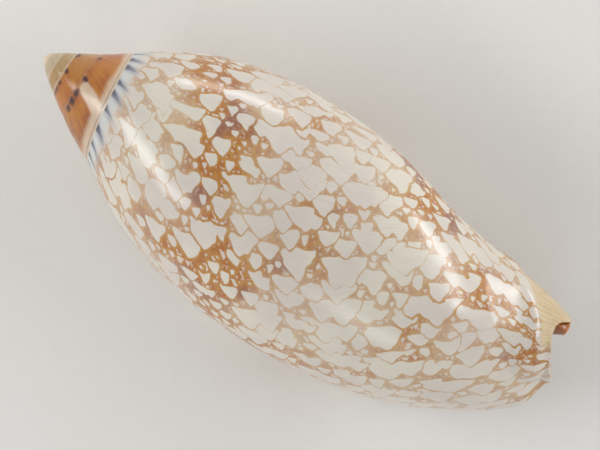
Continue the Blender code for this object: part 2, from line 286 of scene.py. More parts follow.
def radius(angle, along):
    """Distance of the outer surface from the axis."""
    angle, along = np.broadcast_arrays(np.asarray(angle, float), np.asarray(along, float))
    whorl = radius_scale(angle) * smooth_curve(PROFILE, along / LENGTH_TURN ** turns(angle))
    early, late = NECK_MERGE
    merge = early + (late - early) * smooth_step(*NECK_MERGE_FADE, angle)
    body = soft_max(whorl, neck(angle, along), merge)
    across = whorl_share(angle, along)
    leaves_cone = CONE_KEPT * (1 - smooth_step(*CONE_KEPT_FADE, angle))
    share = smooth_step(leaves_cone, leaves_cone + CONE_LEFT_OVER, across)
    surface = cone(angle, along) * (1 - share) + body * share
    return surface + folds(angle, along) + ridge(angle, along)


def lip_lead(angle, along):
    """How far growth at this place runs ahead of the suture, in degrees."""
    near_lip = smooth_step(LIP_ANGLE - LIP_EDGE_REACH, LIP_ANGLE, angle)
    return smooth_curve(LIP_EDGE, along) * near_lip


def place(angle, along, distance):
    around = np.radians(angle)
    return np.stack([along + 0.0 * distance, axis_shift(along) + distance * np.cos(around),
                     distance * np.sin(around)], axis=-1)


def row_shares(angle):
    """Rows of the last whorl, from just past the coming suture to the front edge, as shares."""
    start = suture(angle + 360) * (1 + JOIN_BAND)
    bend = (smooth_curve(RIDGE, angle) - start) / (smooth_curve(FRONT_EDGE, angle) - start)
    body = bend * np.linspace(0, 1, BODY_ROWS + 1) ** ROW_CROWDING
    fasciole = bend + (1 - bend) * np.linspace(0, 1, FASCIOLE_ROWS + 1)[1:]
    return np.concatenate([body, fasciole])


def outer_rows(angle, rows, last_whorl):
    """Places along the axis of one column of the outer surface."""
    spire = suture(angle) + (suture(angle + 360) - suture(angle)) * np.linspace(0, 1, rows + 1)
    if not last_whorl:
        return spire
    start = suture(angle + 360) * (1 + JOIN_BAND)
    length = smooth_curve(FRONT_EDGE, angle) - start
    return np.concatenate([spire, start + length * row_shares(angle)])


def cavity_front(angle):
    """Front end of the cavity: the open canal near the lip, drawn back further in."""
    if angle >= CANAL_END_ANGLE:
        return smooth_curve(FRONT_EDGE, angle)
    return TIP * LENGTH_TURN ** ((angle - CANAL_END_ANGLE) / 360.0)


def wall(along):
    """Thickness of the outer wall, thinner towards the notch."""
    return WALL * (1 - WALL_THINNING * smooth_step(*WALL_THINS, along))


def inner_surface(angle, along):
    """The whorl before this one, which the cavity lies on."""
    return radius(angle - 360, along)


def cavity_roof(angle, swept, along, share):
    """Inside of the outer wall, rounded off where it comes down on the whorl before it."""
    floor = inner_surface(swept, along)
    rise = radius(swept, along + SLOPE_STEP) - radius(swept, along - SLOPE_STEP)
    slope = rise / (2 * SLOPE_STEP)
    steeper = np.clip(np.hypot(1.0, slope), 1.0, MOST_STEEP) - 1.0
    thickness = wall(along) * (1 + steeper * (1 - smooth_step(STEEP_ENDS, 1.0, share)))
    gap = np.clip(radius(swept, along) - thickness - floor, LEAST_GAP, None)
    rounding = np.sqrt(1 - (1 - np.clip(share / ROUNDED_JOIN, 0, 1)) ** 2)
    if angle <= CANAL_END_ANGLE:
        near_front = np.clip(1 - (1 - share) / ROUNDED_FRONT, 0, 1)
        rounding = rounding * np.sqrt(1 - near_front ** 2)
    depth = (LIP_ANGLE - angle) / CAVITY_DEPTH
    near_end = np.clip(1 - (1 - depth) / ROUNDED_END, 0, 0.98)
    rounding = rounding * np.sqrt(1 - near_end ** 2)
    return floor + gap * rounding


# Kinds of surface that a point can be on, with the rims' points between them
OUTSIDE, INSIDE = 0.0, 1.0


class Skin:
    """Points, what is known of each, and the triangles between them."""

    def __init__(self):
        self.points = np.empty((0, 3))
        self.facts = np.empty((0, 2))
        self.triangles = []

    def column(self, points, growth, kind):
        """Adds points, with their growth angle and their kind."""
        facts = np.empty((len(points), 2))
        facts[:, 0] = growth
        facts[:, 1] = kind
        first = len(self.points)
        self.points = np.concatenate([self.points, points])
        self.facts = np.concatenate([self.facts, facts])
        return np.arange(first, len(self.points))

    def face(self, corners):
        corners = np.reshape(corners, (-1, 3))
        a, b, c = corners.T
        self.triangles.append(corners[(a != b) & (b != c) & (c != a)])

    def fan(self, ring, middle):
        self.face([(ring[k], ring[k + 1], middle) for k in range(len(ring) - 1)])

    def sheet(self, left, right):
        """Two triangles between each two neighbours of two columns of like length."""
        self.face(np.stack([left[:-1], right[:-1], right[1:]], axis=1))
        self.face(np.stack([left[:-1], right[1:], left[1:]], axis=1))

    def shares(self, column):
        """How far along the column each of its points is, from 0 to 1."""
        steps = np.linalg.norm(np.diff(self.points[column], axis=0), axis=1)
        return np.append(0.0, np.cumsum(steps)) / np.sum(steps)

    def join(self, left, right):
        """A band of triangles between two columns, of like or unlike length."""
        if len(left) == len(right):
            self.sheet(left, right)
            return
        left_at = np.append(self.shares(left), 9.0)
        right_at = np.append(self.shares(right), 9.0)
        i = 0
        j = 0
        found = []
        while i < len(left) - 1 or j < len(right) - 1:
            if left_at[i + 1] <= right_at[j + 1]:
                found.append((left[i], right[j], left[i + 1]))
                i += 1
            else:
                found.append((left[i], right[j], right[j + 1]))
                j += 1
        self.face(found)

    def rounded_edge(self, outer, inner, forward, ends=None):
        """A rounded rim between two columns. Its own columns start at the outer one's first point
        and end at the points given; it returns those that it ends at."""
        outside = self.points[outer]
        at = self.shares(outer)
        known = self.shares(inner)
        inside = np.stack([np.interp(at, known, self.points[inner][:, k]) for k in range(3)], axis=1)
        half = (outside - inside) / 2
        bulge = forward * np.linalg.norm(half, axis=1)[:, None]
        last = outer
        stops = []
        for row in range(1, RIM_ROWS + 1):
            round_by = math.pi * row / (RIM_ROWS + 1)
            points = inside + half * (1 + math.cos(round_by)) + bulge * math.sin(round_by)
            kind = OUTSIDE + (INSIDE - OUTSIDE) * row / (RIM_ROWS + 1)
            column = self.column(points, self.facts[outer][:, 0], kind)
            column[0] = outer[0]
            if ends is not None:
                column[-1] = ends[row - 1]
            stops.append(column[-1])
            self.sheet(last, column)
            last = column
        self.join(last, inner)
        return stops


def drawn_back(angle, along):
    """Room left in front of the lip for its rounded rim, in degrees."""
    room = np.degrees(0.5 * wall(along) / radius(angle, along))
    return room * smooth_step(LIP_ANGLE - RIM_REACH, LIP_ANGLE, angle)


def swept_angle(angle, along):
    return angle + lip_lead(angle, along) - drawn_back(angle, along)


def build_outside(skin, angles, per_turn):
    """Columns from the lip back to the apex, with each suture shared by the whorls beside it."""
    count = len(angles) - 1
    first_open = count - per_turn
    outer = {}
    for k in range(count, -1, -1):
        rows = TURN_ROWS[min(max(count - k - 1, 0) // per_turn, len(TURN_ROWS) - 1)]
        along = outer_rows(angles[k], rows, k >= first_open)
        swept = swept_angle(angles[k], along)
        outer[k] = skin.column(place(swept, along, radius(swept, along)), swept, OUTSIDE)
        if k <= first_open:
            outer[k][rows] = outer[k + per_turn][0]
        if k + 1 == first_open:
            skin.join(outer[k], outer[k + 1][:TURN_ROWS[0] + 1])
        elif k < count:
            skin.join(outer[k], outer[k + 1])
    return outer


def build_apex(skin, outer, angles, per_turn):
    """Rings up the cap over the first turn of the suture, then a fan."""
    rows = len(outer[0]) - 1
    rim = np.concatenate([[outer[k][0] for k in range(per_turn + 1)], outer[0][rows - 1:0:-1]])
    around = np.concatenate([angles[:per_turn + 1], np.full(rows - 1, angles[0])])
    ring = np.append(rim, rim[0])
    for share in CAP_RINGS:
        along = skin.points[rim][:, 0] * share
        cap = skin.column(place(around, along, cone(around, along)), angles[0], OUTSIDE)
        cap = np.append(cap, cap[0])
        skin.sheet(ring, cap)
        ring = cap
    apex = skin.column(place(0.0, np.zeros(1), np.zeros(1)), angles[0], OUTSIDE)
    skin.fan(ring, apex[0])


def build_inside(skin, angles, inside, canal_end, last_floor):
    """Columns of the cavity: the floor is the whorl before, the roof the inside of the wall."""
    known = row_shares(LIP_ANGLE - 360)
    shares = np.interp(np.linspace(0, 1, INSIDE_ROWS + 1), np.linspace(0, 1, len(known)), known)
    floors = {}
    roofs = {}
    for k in inside:
        angle = angles[k]
        start = suture(angle) * (1 + JOIN_BAND)
        front = TIP if k >= canal_end else cavity_front(angle)
        along = start + (front - start) * shares
        floors[k] = last_floor
        if k < inside[-1]:
            floors[k] = skin.column(place(angle, along, inner_surface(angle, along)), angle, INSIDE)
        along = start + (cavity_front(angle) - start) * shares
        swept = swept_angle(angle, along)
        distance = cavity_roof(angle, swept, along, shares)
        roofs[k] = skin.column(place(swept, along, distance), swept, INSIDE)
        roofs[k][0] = floors[k][0]
        if k <= canal_end:
            roofs[k][-1] = floors[k][-1]
    for left, right in zip(inside[:-1], inside[1:]):
        skin.join(floors[left], floors[right])
        skin.join(roofs[left], roofs[right])
    skin.join(roofs[inside[0]], floors[inside[0]])
    return floors, roofs


def build_tip(skin, ring):
    """Rounded end of the columella: rings inside its edge, then a fan."""
    centre = place(0.0, np.array([TIP]), np.zeros(1))
    edge = skin.points[ring]
    last = np.append(ring, ring[0])
    for share in TIP_RINGS:
        bulge = np.array([TIP_CAP * math.sqrt(1 - share * share), 0.0, 0.0])
        middle = skin.column(centre + (edge - centre) * share + bulge, CANAL_END_ANGLE, INSIDE)
        middle = np.append(middle, middle[0])
        skin.sheet(last, middle)
        last = middle
    tip = skin.column(centre + np.array([TIP_CAP, 0.0, 0.0]), CANAL_END_ANGLE, INSIDE)
    skin.fan(last, tip[0])


def build_skin():
    """The whole surface, outside and inside, as one closed skin in millimetres."""
    skin = Skin()
    per_turn = round(360 / STEP_ANGLE)
    count = round((SPIRE_TURNS + 1) * per_turn)
    first_open = count - per_turn
    angles = [LIP_ANGLE - STEP_ANGLE * (count - k) for k in range(count + 1)]
    outer = build_outside(skin, angles, per_turn)
    build_apex(skin, outer, angles, per_turn)

    canal_end = count - round((LIP_ANGLE - CANAL_END_ANGLE) / STEP_ANGLE)
    deepest = count - round(CAVITY_DEPTH / STEP_ANGLE / INSIDE_STEP) * INSIDE_STEP
    inside = list(range(deepest, count + 1, INSIDE_STEP))
    last_floor = outer[first_open][TURN_ROWS[0] + 1:]
    floors, roofs = build_inside(skin, angles, inside, canal_end, last_floor)

    # Rim of the lip, bulging the way it grows, and of the notch, bulging forwards
    around = np.radians(skin.facts[outer[count]][:, 0])
    growing = np.stack([0 * around, -np.sin(around), np.cos(around)], axis=1)
    stops = skin.rounded_edge(outer[count], roofs[count], growing)
    front_out = np.array([outer[k][-1] for k in range(canal_end, count + 1)])
    front_in = np.array([roofs[k][-1] for k in inside if k >= canal_end])
    skin.rounded_edge(front_out, front_in, np.array([1.0, 0.0, 0.0]), stops)

    ring = [outer[k][-1] for k in range(first_open, canal_end + 1)]
    ring += [floors[k][-1] for k in inside if canal_end <= k < count]
    build_tip(skin, np.array(ring))
    return skin


def growth_line(growth, along, lead):
    """Growth angle, at the suture, of the line that a point was laid down on."""
    return growth - smooth_curve(lead, along / LENGTH_TURN ** turns(growth))


def waves(rng, a, b, length, octaves=3):
    """Smooth noise of about -1 to 1 over two coordinates in millimetres."""
    total = np.zeros(np.broadcast(a, b).shape)
    for octave in range(octaves):
        for _ in range(5):
            direction = rng.uniform(0, math.tau)
            phase = rng.uniform(0, math.tau)
            step = math.tau / (length * rng.uniform(0.7, 1.4) / 1.9 ** octave)
            run = a * math.cos(direction) + b * math.sin(direction)
            total = total + np.sin(run * step + phase) / (5 * 1.5 ** octave)
    return total


def crowding(line, along):
    """How crowded and dark the markings are, from 0 to 1."""
    rng = np.random.default_rng(SEED + 1)
    on_top = along * np.exp(-BAND_DRIFT * np.radians(line - 90))
    bands = sum(strength * np.exp(-((on_top - centre) / half) ** 2)
                for centre, half, strength in BANDS)
    patches = waves(rng, along, line * AROUND, PATCH_SIZE)
    return np.clip(CALM + IN_BAND * bands + IN_PATCH * patches, 0, 1)


def steps(at, lattice, most):
    """How many steps of the lattice lines or places are from its first, from 0 to the most."""
    first, _, step = lattice
    return np.clip((np.array(at) - first) / step, 0, most)


class Tents:
    """White tents on a brown ground, drawn on a lattice of growth lines and places along the axis.

    Each tent opens along a growth line and closes as brown creeps in from both sides. Of two that
    overlap the earlier is whole. Each has one of a few channels, unlike its neighbours', and a
    channel holds how far inside the nearest of its tents a point is, in millimetres."""

    PAD = 1.0

    def __init__(self):
        self.rng = np.random.default_rng(SEED)
        self.lines = np.arange(*LATTICE_ANGLES)
        self.places = np.arange(*LATTICE_PLACES)
        mesh = np.meshgrid(self.lines, self.places, indexing="ij")
        self.scale = np.radians(radius(mesh[0], mesh[1]))
        around = mesh[0] * AROUND
        across = mesh[1] - SLANT * around
        self.bent_aside = sum(deep * waves(self.rng, mesh[1], around, long)
                              for deep, long in BENT_ASIDE)
        self.bent_ahead = BENT_AHEAD[0] * waves(self.rng, mesh[1], around, BENT_AHEAD[1])
        scallops = waves(self.rng, across, around * SCALLOP_STRETCH, SCALLOP_LENGTH, 2)
        self.scallops = SCALLOP * np.abs(scallops)
        self.crowd = crowding(*mesh)
        self.taken = np.zeros(mesh[0].shape, bool)
        self.groups = []

    def window(self, group):
        """The part of the lattice round a group of tents, as two slices."""
        line, along, half, height = np.array([tent[:4] for tent in group]).T
        i = int(steps(line[0], LATTICE_ANGLES, len(self.lines) - 1))
        j = int(steps(along[0], LATTICE_PLACES, len(self.places) - 1))
        scale = self.scale[i, j]
        first = np.min(line) - self.PAD / scale
        last = np.max(line + (height + self.PAD) / scale)
        left = np.min(along - half) - self.PAD
        right = np.max(along + half + height * SLANT) + self.PAD
        rows = steps([first, last], LATTICE_ANGLES, len(self.lines)).astype(int)
        columns = steps([left, right], LATTICE_PLACES, len(self.places)).astype(int)
        return (slice(rows[0], rows[1] + 1), slice(columns[0], columns[1] + 1)), scale

    def depth(self, group):
        """How far inside a group of tents the points round it are, and where they are."""
        spot, scale = self.window(group)
        deepest = -self.PAD
        for line, along, half, height, side_power, tip_power in group:
            ahead = (self.lines[spot[0], None] - line) * scale
            scalloped = min(half / SCALLOP_HALF, MOST_SCALLOP)
            down = ahead + self.bent_ahead[spot] - self.scallops[spot] * scalloped
            aside = self.places[None, spot[1]] - along - SLANT * ahead + self.bent_aside[spot]
            aside = np.abs(aside) / half
            fallen = np.clip(down, 0, None) / height
            inside = 1 - aside ** side_power - fallen ** tip_power
            steep = np.hypot(side_power * aside ** (side_power - 1) / half,
                             tip_power * fallen ** (tip_power - 1) / height)
            deepest = np.maximum(deepest, np.minimum(down, inside / (steep + 0.02)))
        return deepest, spot

    def merged(self, tent, scale):
        """A large tent with the others that run together with it."""
        rng = self.rng
        line, along, half, height, *powers = tent
        group = [tent]
        for _ in range(rng.integers(0, MOST_MERGED + 1)):
            aside = half * rng.uniform(-MERGED_ASIDE, MERGED_ASIDE)
            share, stray = MERGED_AHEAD
            ahead = share * aside + half * rng.uniform(-stray, stray)
            size = rng.uniform(*MERGED_SIZE)
            tall = height * size * MERGED_TALLER
            group.append((line + ahead / scale, along + aside, half * size, tall, *powers))
        return group

    def scatter(self):
        """Tries places for the tents, the large ones first, and keeps those with room."""
        rng = self.rng
        for level, (tries, halves, height_share, tight, loose, *powers) in enumerate(TENTS):
            for _ in range(tries):
                i = rng.integers(LATTICE_MARGIN, len(self.lines) - LATTICE_MARGIN)
                j = rng.integers(LATTICE_MARGIN, len(self.places) - LATTICE_MARGIN)
                size = rng.uniform(*halves)
                height = size * 2 * height_share * rng.uniform(*HEIGHT_VARIES)
                luck = rng.uniform()
                crowd = self.crowd[i, j]
                calm, fewer = WANTED[level]
                if luck > calm - fewer * crowd or (level > 1 and self.taken[i, j]):
                    continue
                group = [(self.lines[i], self.places[j], size, height, *powers)]
                if level == 0:
                    group = self.merged(group[0], self.scale[i, j])
                depth, spot = self.depth(group)
                inside = depth > -TENT_GAP
                most = loose + (tight - loose) * crowd
                if inside.any() and np.mean(self.taken[spot][inside]) < most:
                    self.taken[spot] |= inside
                    self.groups.append(group)

    def draw(self):
        """Draws the tents in the order of their growth. Returns the channels."""
        channels = np.full((CHANNELS, *self.taken.shape), -self.PAD)
        free = np.full(self.taken.shape, self.PAD)
        for group in sorted(self.groups):
            depth, spot = self.depth(group)
            shown = np.minimum(depth, free[spot])
            near = shown > -CHANNEL_REACH
            if not near.any():
                continue
            clashes = [np.max(channel[spot][near]) for channel in channels]
            channel = channels[int(np.argmin(clashes))]
            channel[spot] = np.maximum(channel[spot], shown)
            free[spot] = np.minimum(free[spot], -depth)
        return np.moveaxis(channels, 0, -1)


def sample(lattice, line, along):
    """Values of a lattice between its points."""
    i = steps(line, LATTICE_ANGLES, lattice.shape[0] - 1.001)
    j = steps(along, LATTICE_PLACES, lattice.shape[1] - 1.001)
    row = i.astype(int)
    column = j.astype(int)
    a = (i - row)[:, None]
    b = (j - column)[:, None]
    low = lattice[row, column] * (1 - b) + lattice[row, column + 1] * b
    high = lattice[row + 1, column] * (1 - b) + lattice[row + 1, column + 1] * b
    return low * (1 - a) + high * a


# Fine growth lines are noise on a ring: its radius, and how much the place along the axis counts
LINES_ROUND = 25
LINES_ALONG = 0.06
# Where the lining turns orange at the end of the canal, in the same measure
CANAL_DARKENS = (95.0 * LINES_ALONG, 102.0 * LINES_ALONG)
# Where the fasciole begins beside the ridge, and the growth angles where it ends
FASCIOLE_EDGE = (-0.3, 0.5)
FASCIOLE_ENDS = (106.0, 130.0)
# Growth angles between which the spire's colours give way to the last whorl's
SPIRE_ENDS = (-165.0, -130.0)

# Distance from the suture along the surface, for each millimetre along the axis
SEAM_SLOPE = 1.25
FAR_FROM_SEAM = 9.0
NO_SPOT = -2.0

# Spots and streaks in front of the suture: first and last, degrees from one to the next, share of
# spots missing, half widths, a spot's size and place, a streak's length, where streaks take over
SPOTS = (-45, 15)
SPOT_STEP = 16.4
SPOT_STRAY = 0.2
SPOTS_MISSING = 0.22
SPOT_HALF = (0.45, 0.85)
SPOT_SIZE = 1.35
SPOT_PLACE = 1.2
SPOT_REACH = 40
STREAK_LENGTH = (3.2, 5.6)
STREAKS_FROM = -110.0
STREAK_SLANT = 0.42
SPOT_SEED = 5


def suture_spots(growth, from_seam):
    """How far inside a dark spot or streak a point is, in millimetres."""
    rng = np.random.default_rng(SPOT_SEED)
    depth = np.full(len(growth), NO_SPOT)
    scale = np.radians(CONE_SLOPE * suture(growth) * 1.1)
    for n in range(*SPOTS):
        at = (n + rng.uniform(-SPOT_STRAY, SPOT_STRAY)) * SPOT_STEP
        long = rng.uniform(*STREAK_LENGTH)
        wide = rng.uniform(*SPOT_HALF)
        missing = rng.uniform() < SPOTS_MISSING
        near = np.abs(growth - at) < SPOT_REACH
        size = suture(at) / SUTURE
        aside = (growth - at)[near] * scale[near]
        out = from_seam[near]
        if at > STREAKS_FROM:
            narrower = (1 - 0.35 * np.clip(out / 1.2, 0, 1)) * (1 - (out / long) ** 2)
            shown = wide * narrower - np.abs(aside - STREAK_SLANT * out)
        elif missing:
            continue
        else:
            ahead = (out - SPOT_PLACE * size ** 0.5) * 0.8
            shown = SPOT_SIZE * size ** 0.5 * wide - np.hypot(aside, ahead)
        depth[near] = np.maximum(depth[near], shown)
    return depth


def surface_facts(skin):
    """What the material reads at each point: a dict of arrays."""
    growth, kind = skin.facts.T
    along = skin.points[:, 0]
    outside = kind == OUTSIDE
    from_seam = np.clip(along - suture(growth), 0, None) * SEAM_SLOPE
    to_seam = np.abs(suture(growth + 360) - along) * SEAM_SLOPE
    seam = np.where(growth + 360 < LIP_ANGLE, np.minimum(from_seam, to_seam), from_seam)

    tents = Tents()
    tents.scatter()
    tent_line = growth_line(growth, along, TENT_LEAD)
    channels = sample(tents.draw(), tent_line, along)
    around = np.radians(growth_line(growth, along, GROWTH_LEAD))
    fasciole = smooth_step(*FASCIOLE_EDGE, along - smooth_curve(RIDGE, growth))
    fasciole = fasciole * smooth_step(*RIDGE_STARTS, growth)
    fasciole = fasciole * (1 - smooth_step(*FASCIOLE_ENDS, growth))
    return {
        "tents": channels,
        "lines": np.stack([LINES_ROUND * np.cos(around), LINES_ROUND * np.sin(around),
                           LINES_ALONG * along], axis=1),
        "zones": np.stack([crowding(tent_line, along), smooth_step(*SPIRE_ENDS, growth),
                           fasciole, kind], axis=1),
        "fine": np.stack([along - SLANT * AROUND * tent_line, AROUND * tent_line, 0 * along],
                         axis=1),
        "seam": np.where(outside, seam, FAR_FROM_SEAM),
        "spots": np.where(outside, suture_spots(growth, from_seam), NO_SPOT),
        "turn": growth,
        "across": whorl_share(growth, along),
    }


def rest_turn():
    pitch = Matrix.Rotation(math.radians(PITCH), 3, "Y")
    return pitch @ Matrix.Rotation(math.radians(ROLL), 3, "X")


def lie_down(points):
    """Turns the points onto the belly and lip and wears them flat on the floor. Also returns how
    far they were moved."""
    turned = points @ np.array(rest_turn()).T
    low = turned.min(axis=0)
    high = turned.max(axis=0)
    move = np.array([-(low[0] + high[0]) / 2, -(low[1] + high[1]) / 2, -low[2] - WORN])
    turned = turned + move
    turned[:, 2] = np.clip(turned[:, 2], 0, None)
    return turned, move


def add_object(data):
    """An object with the name of its mesh, lamp or camera."""
    thing = bpy.data.objects.new(data.name, data)
    bpy.context.scene.collection.objects.link(thing)
    return thing


def make_shell():
    """The shell's mesh, with what its material reads as attributes."""
    skin = build_skin()
    facts = surface_facts(skin)
    corners = np.concatenate(skin.triangles)
    used, corners = np.unique(corners, return_inverse=True)
    corners = corners.reshape(-1, 3)
    points, move = lie_down(skin.points[used])
    data = bpy.data.meshes.new("volute_shell")
    data.from_pydata((points * MM).tolist(), [], corners.tolist())
    mesh = bmesh.new()
    mesh.from_mesh(data)
    bmesh.ops.recalc_face_normals(mesh, faces=mesh.faces)
    mesh.to_mesh(data)
    mesh.free()
    data.shade_smooth()
    kinds = {1: ("FLOAT", "value"), 3: ("FLOAT_VECTOR", "vector"), 4: ("FLOAT_COLOR", "color")}
    for name, values in facts.items():
        values = np.asarray(values, np.float32)[used]
        kind, field = kinds[values.size // len(values)]
        data.attributes.new(name, kind, "POINT").data.foreach_set(field, values.ravel())
    return add_object(data), move


class Paint:
    """Short ways to add and join the nodes of one material, or of the sky."""

    def __init__(self, owner, shader="Principled BSDF"):
        self.owner = owner
        self.owner.use_nodes = True
        self.tree = self.owner.node_tree
        self.shader = self.tree.nodes[shader]

    def put(self, socket, value):
        if isinstance(value, bpy.types.NodeSocket):
            self.tree.links.new(value, socket)
        elif socket.type == "RGBA":
            socket.default_value = (*value, 1.0)
        else:
            socket.default_value = value

    def shade(self, name, value):
        self.put(self.shader.inputs[name], value)

    def add(self, kind, **inputs):
        """A new node, with values or links for its inputs."""
        node = self.tree.nodes.new("ShaderNode" + kind)
        for name, value in inputs.items():
            self.put(node.inputs[name], value)
        return node

    def attribute(self, name, output="Fac"):
        node = self.add("Attribute")
        node.attribute_name = name
        return node.outputs[output]

    def split(self, vector):
        return self.add("SeparateXYZ", Vector=vector).outputs

    def math(self, operation, a, b=0.0, clamp=False):
        node = self.add("Math")
        node.operation = operation
        node.use_clamp = clamp
        self.put(node.inputs[0], a)
        self.put(node.inputs[1], b)
        return node.outputs[0]

    def times(self, a, b):
        return self.math("MULTIPLY", a, b)

    def step(self, low, high, value, to_low=0.0, to_high=1.0):
        """A smooth step from one value to another as a third goes from low to high."""
        node = self.add("MapRange")
        node.interpolation_type = "SMOOTHSTEP"
        for socket, given in zip(node.inputs[:5], (value, low, high, to_low, to_high)):
            self.put(socket, given)
        return node.outputs[0]

    def mix(self, share, a, b, blend="MIX"):
        node = self.add("Mix", Factor=share)
        node.data_type = "RGBA"
        node.blend_type = blend
        self.put(node.inputs[6], a)
        self.put(node.inputs[7], b)
        return node.outputs[2]

    def noise(self, vector, scale, detail=2.0, roughness=0.5):
        node = self.add("TexNoise", Vector=vector, Scale=scale, Detail=detail, Roughness=roughness)
        return node.outputs["Fac"]

    def vector(self, operation, a, b):
        node = self.add("VectorMath")
        node.operation = operation
        self.put(node.inputs[0], a)
        self.put(node.inputs[1], b)
        return node.outputs[0]

    def small_tents(self, vector, spacing):
        """One small tent in each cell of a net: how far inside it a point is, in cells."""
        vector = self.vector("MULTIPLY", vector, (1 / spacing, 0.8 / spacing, 0.0))
        node = self.add("TexVoronoi", Vector=vector, Scale=1.0, Randomness=0.9)
        node.voronoi_dimensions = "2D"
        aside, down, _ = self.split(self.vector("SUBTRACT", vector, node.outputs["Position"]))
        luck = self.split(node.outputs["Color"])[0]
        half = self.step(0.0, 1.0, luck, 0.14, 0.5)
        down = self.math("ADD", down, half)
        height = self.times(half, 2.0)
        fallen = self.math("DIVIDE", self.math("MAXIMUM", down, 0.0), height)
        aside = self.math("DIVIDE", self.math("ABSOLUTE", aside), half)
        narrower = self.math("POWER", fallen, 1.4)
        inside = self.math("SUBTRACT", self.math("SUBTRACT", 1.0, aside), narrower)
        return self.math("MINIMUM", down, self.times(inside, half))

    def bump(self, height, strength, distance, normal=None):
        node = self.add("Bump", Height=height, Strength=strength, Distance=distance)
        if normal is not None:
            self.put(node.inputs["Normal"], normal)
        return node.outputs[0]


def colour(red, green, blue):
    """A colour from its values out of 255 as seen on a screen."""
    seen = (red, green, blue)
    return tuple(((c / 255 + 0.055) / 1.055) ** 2.4 if c > 10 else c / 3295 for c in seen)


# Colours of the shell
CREAM = colour(230, 222, 207)
PALE_GREY = colour(222, 212, 202)
LINE_BROWN = colour(200, 150, 66)
TENT_BROWN = colour(182, 114, 48)
PURPLE_BROWN = colour(142, 92, 84)
BLUE_BLACK = colour(24, 24, 40)
BLUE_GREY = colour(126, 128, 146)
MAROON = colour(70, 22, 8)
APEX_CREAM = colour(216, 198, 162)
TAN = colour(192, 156, 98)
AMBER = colour(196, 122, 16)
ORANGE = colour(176, 92, 12)
RED_BROWN = colour(112, 44, 10)
SEAM_CREAM = colour(228, 204, 176)
BLUE_WHITE = colour(214, 219, 218)
FASCIOLE_TAN = colour(224, 205, 164)
INSIDE_CREAM = colour(222, 190, 158)
INSIDE_ORANGE = colour(170, 96, 48)
CANAL_ORANGE = colour(196, 116, 36)
GROWTH_SHADE = colour(120, 100, 80)
WHITE = (1.0, 1.0, 1.0)

# Spacing of the fine tents, in millimetres
FINE_TENTS = (1.7, 0.95)

# Growth angles between which the colours of the spire change
APEX_TO_TAN = (-1250.0, -950.0)
TAN_TO_AMBER = (-800.0, -600.0)
AMBER_TO_BROWN = (-470.0, -400.0)
BROWN_DEEPENS = (-330.0, -170.0)
BAND_STARTS = (-470.0, -330.0)
# Patch of cream and painted highlight: growth angle, half widths faint to full, how far it leans
CREAM_AND_HIGHLIGHT_ANGLE = -276.0
CREAM_AND_HIGHLIGHT_HALF = (11.0, 7.0)
CREAM_AND_HIGHLIGHT_SLANT = 22.0

# Gloss: roughness where smooth and where worn, and what is the same all over
ROUGHNESS = (0.42, 0.6)
GLOSS = {"Specular IOR Level": 0.3, "Coat Weight": 0.9, "Coat Roughness": 0.2, "IOR": 1.5}
# Relief of the growth lines and of the surface between them: strength, and depth in metres
GROWTH_RELIEF = (0.9, 0.00022)
FINE_RELIEF = (0.12, 0.00005)


def paint_tents(paint, where):
    """The white ground and the brown between its tents."""
    channels = paint.attribute("tents", "Color")
    red, green, blue = paint.split(channels)
    deepest = paint.math("MAXIMUM", paint.math("MAXIMUM", red, green),
                         paint.math("MAXIMUM", blue, paint.attribute("tents", "Alpha")))
    crowd = paint.split(paint.attribute("zones", "Color"))[0]
    coarse = paint.noise(where, 90.0, 3.0)
    fine = paint.noise(where, 900.0, 2.0)
    ground = paint.mix(paint.step(0.35, 0.65, coarse), CREAM, PALE_GREY)

    # Fine tents fill the wider brown places, fewer of them where it is darkest
    flat = paint.attribute("fine", "Vector")
    small = paint.step(0.0, 0.1, paint.small_tents(flat, FINE_TENTS[0]))
    smaller = paint.step(0.0, 0.16, paint.small_tents(flat, FINE_TENTS[1]), 0.0, 0.75)
    small = paint.math("MAXIMUM", small, smaller)
    small = paint.times(small, paint.step(-0.06, -0.26, deepest))
    dark = paint.step(0.5, 0.68, paint.noise(where, 130.0, 2.0))
    small = paint.times(small, paint.step(0.0, 1.0, dark, 0.85, 0.3))

    # Outlines are thinner and fainter where the markings are sparse
    uneven = paint.step(0.3, 0.7, paint.noise(where, 160.0, 2.0), 0.13, -0.05)
    thinner = paint.math("SUBTRACT", uneven, paint.times(crowd, 0.1))
    edge = paint.math("ADD", deepest, thinner)
    brown_share = paint.step(OUTLINE / 2 + 0.06, OUTLINE / 2 - 0.08, edge)

    # Browner where wide or crowded, and purple in a few spots
    thick = paint.step(0.1, -0.4, deepest)
    mottled = paint.times(paint.math("SUBTRACT", fine, 0.5), 0.7)
    depth = paint.times(paint.math("ADD", thick, mottled), 0.7)
    depth = paint.math("ADD", depth, paint.times(crowd, 0.4), True)
    brown = paint.mix(depth, LINE_BROWN, TENT_BROWN)
    purple = paint.times(dark, paint.step(0.3, 0.75, crowd))
    brown = paint.mix(paint.times(purple, 0.7), brown, PURPLE_BROWN)
    brown_share = paint.math("SUBTRACT", brown_share, small, True)
    strength = paint.math("ADD", paint.times(crowd, 0.5), 0.55, True)
    near_suture = paint.step(1.5, 5.0, paint.attribute("seam"))
    share = paint.times(paint.times(brown_share, strength), near_suture)
    return paint.mix(share, ground, brown)


